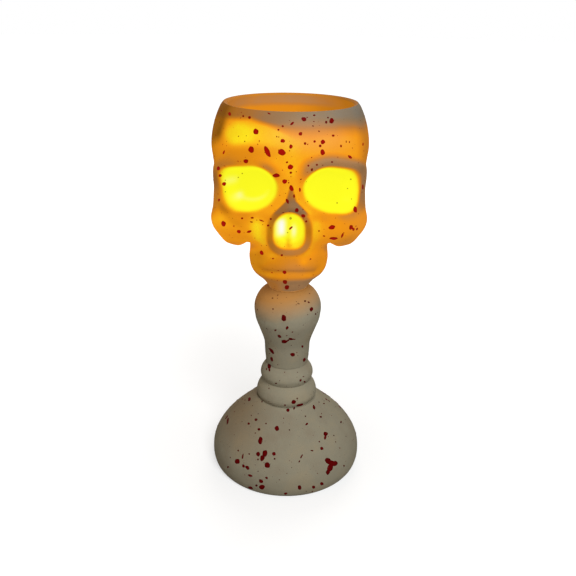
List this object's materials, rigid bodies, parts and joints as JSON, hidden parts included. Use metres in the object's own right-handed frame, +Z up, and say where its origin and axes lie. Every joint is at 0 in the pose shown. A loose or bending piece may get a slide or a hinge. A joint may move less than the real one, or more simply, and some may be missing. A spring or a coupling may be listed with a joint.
{
  "type": "skull candle holder",
  "caption": "Skull-shaped frosted glass candle cup with an open top on a turned pedestal, lit by a lift-out flameless tealight.",
  "frame": {"origin": "centre of the foot pad's lower face, on the table", "axes": "+Z up along the tie rod, the face looks along -Y, +X to the right of a viewer who looks at the face"},
  "size_m": [0.0952, 0.0952, 0.23],
  "materials": {
    "lit_glass": "frosted and painted glass, lit from inside",
    "matt_paint": "matt sand-textured paint on cast resin",
    "steel": "zinc-plated steel",
    "soft_rubber": "matt rubber",
    "felt": "pressed felt",
    "ivory_plastic": "moulded polypropylene",
    "flame_plastic": "translucent moulded plastic",
    "clear_epoxy": "clear cast epoxy",
    "nickel": "nickel-plated steel",
    "black_plastic": "moulded ABS"
  },
  "bodies": {
    "holder": {"skull_cup": "lit_glass", "stem": "matt_paint", "stem_collar": "matt_paint", "base": "matt_paint", "foot_pad": "felt", "tie_rod": "steel", "cup_nut": "steel", "cup_washer": "steel", "cup_inner_gasket": "soft_rubber", "cup_seat_gasket": "soft_rubber", "base_washer": "steel", "base_lock_washer": "steel", "base_nut": "steel"},
    "tealight": {"candle_shell": "ivory_plastic", "flame_tip": "flame_plastic", "flame_led": "clear_epoxy", "candle_base": "ivory_plastic", "coin_cell": "nickel", "contact_plus": "nickel", "contact_minus": "nickel"},
    "door": {"battery_door": "ivory_plastic"},
    "knob": {"switch_knob": "black_plastic"}
  },
  "joints": [
    {"name": "tealight_lift", "type": "slide", "parent": "holder", "child": "tealight", "axis": [0, 0, 1], "range_m": [0, 0.1]},
    {"name": "battery_door_turn", "type": "hinge", "parent": "tealight", "child": "door", "pos_m": [-0.004, 0, 0.14], "axis": [0, 0, 1], "range_deg": [0, 35]},
    {"name": "switch_slide", "type": "slide", "parent": "tealight", "child": "knob", "axis": [0, -1, 0], "range_m": [0, 0.003]}
  ]
}
